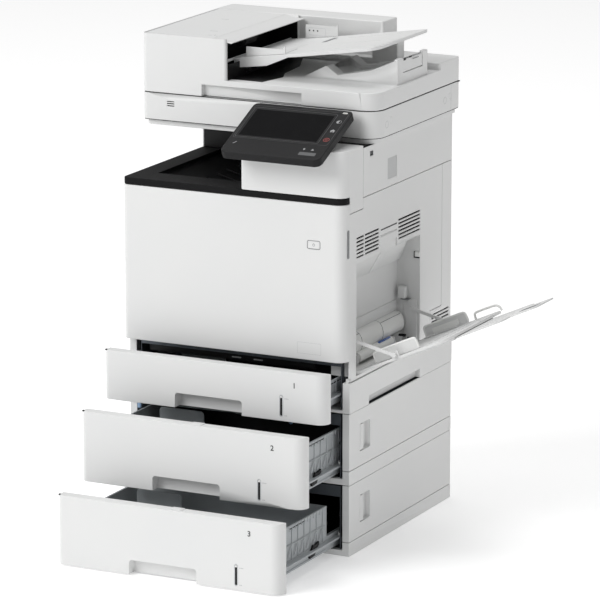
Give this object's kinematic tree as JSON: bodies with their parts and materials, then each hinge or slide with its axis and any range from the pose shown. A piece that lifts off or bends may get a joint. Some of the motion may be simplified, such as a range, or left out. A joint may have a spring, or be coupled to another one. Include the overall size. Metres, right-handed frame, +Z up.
{
  "type": "photocopier",
  "caption": "Free-standing colour photocopier with document feeder, tilting touch panel, bypass tray and pull-out paper drawers",
  "frame": {"origin": "centre of the lower feeder's footprint, on the floor", "axes": "+X to the right seen from the front, +Y to the back, +Z up"},
  "size_m": [0.8354, 0.7814, 0.9895],
  "materials": {
    "cover_white": "fine matte texture",
    "tray_plastic": "matte light grey",
    "frame_steel": "zinc-plated sheet, dull",
    "dark_plastic": "matte dark",
    "black_plastic": "satin black",
    "rubber_roller": "rubber",
    "white_roller": "satin",
    "platen_glass": "clear",
    "white_sheet": "matte white",
    "panel_plastic": "satin charcoal",
    "screen_gloss": "gloss",
    "board_green": "circuit board",
    "screw_steel": "plated"
  },
  "bodies": {
    "chassis": {"feeder_bases": "cover_white", "feeder_frames": "frame_steel", "feeder_left_covers": "cover_white", "feeder_rear_covers": "cover_white", "base_tray": "cover_white", "main_frame": "frame_steel", "left_cover": "cover_white", "rear_cover": "cover_white", "upper_right_cover": "cover_white", "control_column": "cover_white", "output_tray": "black_plastic", "delivery_housing": "dark_plastic", "scanner_base": "cover_white", "scanner_case": "cover_white", "platen_glass": "platen_glass", "laser_unit": "dark_plastic", "toner_cartridges": "dark_plastic", "transfer_belt": "dark_plastic", "fixing_unit": "frame_steel", "drive_motor": "frame_steel", "power_supply": "board_green", "power_inlet": "dark_plastic", "screws": "screw_steel"},
    "drawer_1": {"drawer_1_tray": "tray_plastic", "drawer_1_front": "cover_white"},
    "drawer_2": {"drawer_2_tray": "tray_plastic", "drawer_2_front": "cover_white"},
    "drawer_3": {"drawer_3_tray": "tray_plastic", "drawer_3_front": "cover_white"},
    "lid": {"document_feeder": "cover_white", "platen_sheet": "white_sheet"},
    "panel": {"panel_housing": "panel_plastic", "touch_screen": "screen_gloss"},
    "upper_feeder_door": {"upper_feeder_door": "cover_white"},
    "lower_feeder_door": {"lower_feeder_door": "cover_white"},
    "right_door": {"right_door": "cover_white"},
    "front_cover": {"front_cover": "cover_white"},
    "power_button": {"power_button": "cover_white"},
    "drawer_1_lift_plate": {"drawer_1_lift_plate": "frame_steel"},
    "drawer_1_guide": {"drawer_1_guide": "tray_plastic"},
    "drawer_2_lift_plate": {"drawer_2_lift_plate": "frame_steel"},
    "drawer_2_guide": {"drawer_2_guide": "tray_plastic"},
    "drawer_3_lift_plate": {"drawer_3_lift_plate": "frame_steel"},
    "drawer_3_guide": {"drawer_3_guide": "tray_plastic"},
    "pickup_roller_1": {"pickup_roller_1": "rubber_roller"},
    "pickup_roller_2": {"pickup_roller_2": "rubber_roller"},
    "pickup_roller_3": {"pickup_roller_3": "rubber_roller"},
    "bypass_tray": {"bypass_tray": "cover_white"},
    "bypass_extension": {"bypass_extension": "cover_white"},
    "bypass_front_guide": {"bypass_front_guide": "cover_white"},
    "bypass_rear_guide": {"bypass_rear_guide": "cover_white"},
    "bypass_arms": {"bypass_arms": "cover_white"},
    "bypass_roller": {"bypass_roller": "white_roller"},
    "scan_carriage": {"scan_carriage": "dark_plastic"},
    "feed_cover": {"feed_cover": "cover_white"},
    "document_tray": {"document_tray": "cover_white"},
    "document_front_guide": {"document_front_guide": "cover_white"},
    "document_rear_guide": {"document_rear_guide": "cover_white"},
    "feed_roller": {"feed_roller": "rubber_roller"},
    "paper_stopper": {"paper_stopper": "cover_white"}
  },
  "joints": [
    {"name": "drawer_1_slide", "type": "slide", "parent": "chassis", "child": "drawer_1", "axis": [0, -1, 0], "range_m": [-0.082, 0.168]},
    {"name": "drawer_1_lift", "type": "hinge", "parent": "drawer_1", "child": "drawer_1_lift_plate", "pos_m": [-0.03, 0, 0.3135], "axis": [0, -1, 0], "range_deg": [0, 9]},
    {"name": "drawer_1_guide_slide", "type": "slide", "parent": "drawer_1", "child": "drawer_1_guide", "axis": [0, 1, 0], "range_m": [-0.06, 0.02]},
    {"name": "drawer_2_slide", "type": "slide", "parent": "chassis", "child": "drawer_2", "axis": [0, -1, 0], "range_m": [-0.177, 0.123]},
    {"name": "drawer_2_lift", "type": "hinge", "parent": "drawer_2", "child": "drawer_2_lift_plate", "pos_m": [-0.03, 0, 0.169], "axis": [0, -1, 0], "range_deg": [0, 12]},
    {"name": "drawer_2_guide_slide", "type": "slide", "parent": "drawer_2", "child": "drawer_2_guide", "axis": [0, 1, 0], "range_m": [-0.06, 0.02]},
    {"name": "drawer_3_slide", "type": "slide", "parent": "chassis", "child": "drawer_3", "axis": [0, -1, 0], "range_m": [-0.275, 0.025]},
    {"name": "drawer_3_lift", "type": "hinge", "parent": "drawer_3", "child": "drawer_3_lift_plate", "pos_m": [-0.03, 0, 0.0245], "axis": [0, -1, 0], "range_deg": [0, 12]},
    {"name": "drawer_3_guide_slide", "type": "slide", "parent": "drawer_3", "child": "drawer_3_guide", "axis": [0, 1, 0], "range_m": [-0.06, 0.02]},
    {"name": "upper_feeder_door_hinge", "type": "hinge", "parent": "chassis", "child": "upper_feeder_door", "pos_m": [0.234, 0.231, 0.21675], "axis": [0, 0, 1], "range_deg": [0, 85]},
    {"name": "lower_feeder_door_hinge", "type": "hinge", "parent": "chassis", "child": "lower_feeder_door", "pos_m": [0.234, 0.231, 0.07225], "axis": [0, 0, 1], "range_deg": [0, 85]},
    {"name": "right_door_hinge", "type": "hinge", "parent": "chassis", "child": "right_door", "pos_m": [0.238, 0, 0.355], "axis": [0, 1, 0], "range_deg": [0, 30]},
    {"name": "bypass_tray_hinge", "type": "hinge", "parent": "right_door", "child": "bypass_tray", "pos_m": [0.236, 0, 0.364], "axis": [0, 1, 0], "range_deg": [-65.5, 0]},
    {"name": "bypass_extension_slide", "type": "slide", "parent": "bypass_tray", "child": "bypass_extension", "axis": [0.91, 0, 0.4147], "range_m": [-0.14, 0]},
    {"name": "bypass_front_guide_slide", "type": "slide", "parent": "bypass_tray", "child": "bypass_front_guide", "axis": [0, 1, 0], "range_m": [0, 0.08]},
    {"name": "bypass_rear_guide_slide", "type": "slide", "parent": "bypass_tray", "child": "bypass_rear_guide", "axis": [0, 1, 0], "range_m": [-0.08, 0]},
    {"name": "bypass_arms_hinge", "type": "hinge", "parent": "bypass_tray", "child": "bypass_arms", "pos_m": [0.31996, 0, 0.40886], "axis": [0, 1, 0], "range_deg": [-36.5, 0]},
    {"name": "bypass_roller_spin", "type": "hinge", "parent": "right_door", "child": "bypass_roller", "pos_m": [0.208, -0.063, 0.376], "axis": [0, 1, 0], "continuous": true},
    {"name": "front_cover_hinge", "type": "hinge", "parent": "chassis", "child": "front_cover", "pos_m": [0, -0.2579, 0.399], "axis": [1, 0, 0], "range_deg": [0, 88]},
    {"name": "power_button_press", "type": "slide", "parent": "front_cover", "child": "power_button", "axis": [0, 1, 0], "range_m": [0, 0.002], "stiffness_N_per_m": 400},
    {"name": "pickup_roller_1_spin", "type": "hinge", "parent": "chassis", "child": "pickup_roller_1", "pos_m": [0.175, -0.12, 0.3785], "axis": [0, 1, 0], "continuous": true},
    {"name": "pickup_roller_2_spin", "type": "hinge", "parent": "chassis", "child": "pickup_roller_2", "pos_m": [0.175, -0.12, 0.2695], "axis": [0, 1, 0], "continuous": true},
    {"name": "pickup_roller_3_spin", "type": "hinge", "parent": "chassis", "child": "pickup_roller_3", "pos_m": [0.175, -0.12, 0.125], "axis": [0, 1, 0], "continuous": true},
    {"name": "scan_carriage_slide", "type": "slide", "parent": "chassis", "child": "scan_carriage", "axis": [1, 0, 0], "range_m": [0, 0.33]},
    {"name": "lid_hinge", "type": "hinge", "parent": "chassis", "child": "lid", "pos_m": [0, 0.238, 0.8745], "axis": [-1, 0, 0], "range_deg": [0, 65]},
    {"name": "feed_cover_hinge", "type": "hinge", "parent": "lid", "child": "feed_cover", "pos_m": [-0.245, 0, 0.9859], "axis": [0, -1, 0], "range_deg": [0, 70]},
    {"name": "document_tray_hinge", "type": "hinge", "parent": "lid", "child": "document_tray", "pos_m": [-0.086, 0, 0.94], "axis": [0, -1, 0], "range_deg": [0, 24]},
    {"name": "document_front_guide_slide", "type": "slide", "parent": "document_tray", "child": "document_front_guide", "axis": [0, 1, 0], "range_m": [0, 0.07]},
    {"name": "document_rear_guide_slide", "type": "slide", "parent": "document_tray", "child": "document_rear_guide", "axis": [0, 1, 0], "range_m": [-0.07, 0]},
    {"name": "feed_roller_spin", "type": "hinge", "parent": "lid", "child": "feed_roller", "pos_m": [-0.116, 0.025, 0.962], "axis": [0, 1, 0], "continuous": true},
    {"name": "paper_stopper_flip", "type": "hinge", "parent": "lid", "child": "paper_stopper", "pos_m": [0.2485, 0.026, 0.9305], "axis": [0, 1, 0], "range_deg": [0, 88]},
    {"name": "panel_tilt", "type": "hinge", "parent": "chassis", "child": "panel", "pos_m": [0.111, -0.24638, 0.81835], "axis": [1, 0, 0], "range_deg": [-20, 8]}
  ],
  "couplings": [
    {"joint": "bypass_rear_guide_slide", "follows": "bypass_front_guide_slide", "ratio": -1},
    {"joint": "bypass_arms_hinge", "follows": "bypass_tray_hinge", "ratio": 0.557},
    {"joint": "document_rear_guide_slide", "follows": "document_front_guide_slide", "ratio": -1}
  ]
}
